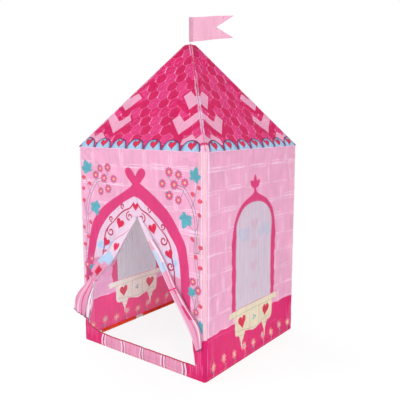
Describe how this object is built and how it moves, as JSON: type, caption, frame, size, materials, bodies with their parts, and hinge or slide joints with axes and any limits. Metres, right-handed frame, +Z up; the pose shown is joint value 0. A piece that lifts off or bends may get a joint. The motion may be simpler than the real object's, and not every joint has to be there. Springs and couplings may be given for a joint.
{
  "type": "kids play tent",
  "caption": "Square castle play tent for indoor use: fabric cover with drawn-back door, netted windows, pyramid roof and turning flag on a push-together pole frame.",
  "frame": {"origin": "on the floor, under the middle of the tent's outer box, drawn-back door flap included; the poles' plan is centred 31 mm behind it", "axes": "+Z up, the door faces -Y, the windows face +X and -X"},
  "size_m": [0.8, 0.8596, 1.661],
  "materials": {
    "wall_cloth": "printed woven polyester, pink",
    "roof_cloth": "printed woven polyester, magenta",
    "flap_cloth": "printed woven polyester, pale pink and magenta",
    "flag_cloth": "plain woven polyester, pink",
    "window_net": "sheer lavender net",
    "tie_tape": "woven tape",
    "pole_plastic": "white extruded tube",
    "connector_plastic": "white moulded plastic"
  },
  "bodies": {
    "tent": {"base_corner_front_right": "connector_plastic", "base_corner_back_right": "connector_plastic", "base_corner_back_left": "connector_plastic", "base_corner_front_left": "connector_plastic", "eave_corner_front_right": "connector_plastic", "eave_corner_back_right": "connector_plastic", "eave_corner_back_left": "connector_plastic", "eave_corner_front_left": "connector_plastic", "upright_joiner_front_right": "connector_plastic", "upright_joiner_back_right": "connector_plastic", "upright_joiner_back_left": "connector_plastic", "upright_joiner_front_left": "connector_plastic", "apex_hub": "connector_plastic", "upright_lower_front_right": "pole_plastic", "upright_lower_back_right": "pole_plastic", "upright_lower_back_left": "pole_plastic", "upright_lower_front_left": "pole_plastic", "upright_upper_front_right": "pole_plastic", "upright_upper_back_right": "pole_plastic", "upright_upper_back_left": "pole_plastic", "upright_upper_front_left": "pole_plastic", "base_pole_front": "pole_plastic", "base_pole_right": "pole_plastic", "base_pole_back": "pole_plastic", "base_pole_left": "pole_plastic", "eave_pole_front": "pole_plastic", "eave_pole_right": "pole_plastic", "eave_pole_back": "pole_plastic", "eave_pole_left": "pole_plastic", "hip_pole_front_right": "pole_plastic", "hip_pole_back_right": "pole_plastic", "hip_pole_back_left": "pole_plastic", "hip_pole_front_left": "pole_plastic", "flag_pole": "pole_plastic", "wall_front": "wall_cloth", "wall_right": "wall_cloth", "wall_back": "wall_cloth", "wall_left": "wall_cloth", "roof_front": "roof_cloth", "roof_right": "roof_cloth", "roof_back": "roof_cloth", "roof_left": "roof_cloth", "roof_cap": "roof_cloth", "window_net_right": "window_net", "window_net_left": "window_net", "corner_strip_front_right": "wall_cloth", "corner_strip_back_right": "wall_cloth", "corner_strip_back_left": "wall_cloth", "corner_strip_front_left": "wall_cloth", "corner_loop_front_right": "tie_tape", "corner_loop_back_right": "tie_tape", "corner_loop_back_left": "tie_tape", "corner_loop_front_left": "tie_tape"},
    "flap_left": {"door_flap_left": "flap_cloth", "door_tie_left": "tie_tape"},
    "flap_right": {"door_flap_right": "flap_cloth", "door_tie_right": "tie_tape"},
    "flag": {"flag": "flag_cloth"}
  },
  "joints": [
    {"name": "door_flap_left_swing", "type": "hinge", "parent": "tent", "child": "flap_left", "pos_m": [0, -0.36905, 0.708], "axis": [0.5362, 0, 0.8441], "range_deg": [0, 110]},
    {"name": "door_flap_right_swing", "type": "hinge", "parent": "tent", "child": "flap_right", "pos_m": [0, -0.36905, 0.708], "axis": [0.5362, 0, -0.8441], "range_deg": [0, 100]},
    {"name": "flag_turn", "type": "hinge", "parent": "tent", "child": "flag", "pos_m": [0, 0.03125, 1.542], "axis": [0, 0, 1], "continuous": true}
  ]
}
